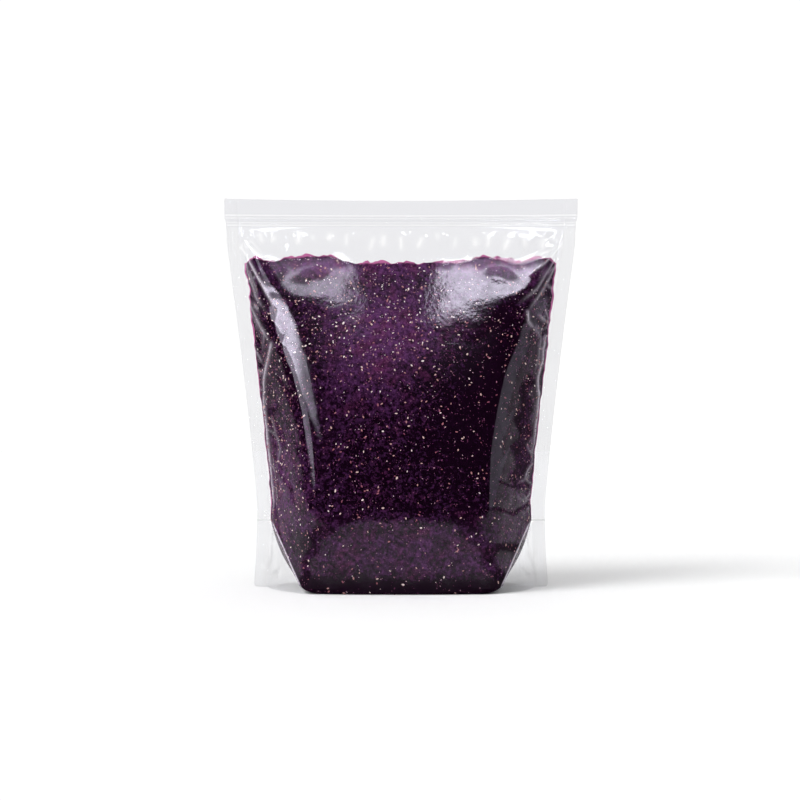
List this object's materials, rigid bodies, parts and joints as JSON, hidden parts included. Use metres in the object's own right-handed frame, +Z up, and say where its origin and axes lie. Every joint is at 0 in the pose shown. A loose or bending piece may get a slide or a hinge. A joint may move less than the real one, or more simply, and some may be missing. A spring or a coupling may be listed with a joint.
{
  "type": "clear stand-up pouch of bramble jam",
  "caption": "Clear stand-up pouch with a folded base, welded side seals and a press-to-close strip, filled with dark bramble jam",
  "frame": {"origin": "on the floor, under the middle of the pouch's box", "axes": "+Z up, the front panel faces -Y, +X to the right seen from the front"},
  "size_m": [0.25, 0.0974, 0.275],
  "materials": {
    "film": "clear glossy film",
    "strip": "clear, slightly milky",
    "jam": "wet, dark purple",
    "seeds": "dull"
  },
  "bodies": {
    "root": {"pouch": "film", "zip_strip": "strip"}
  },
  "joints": []
}
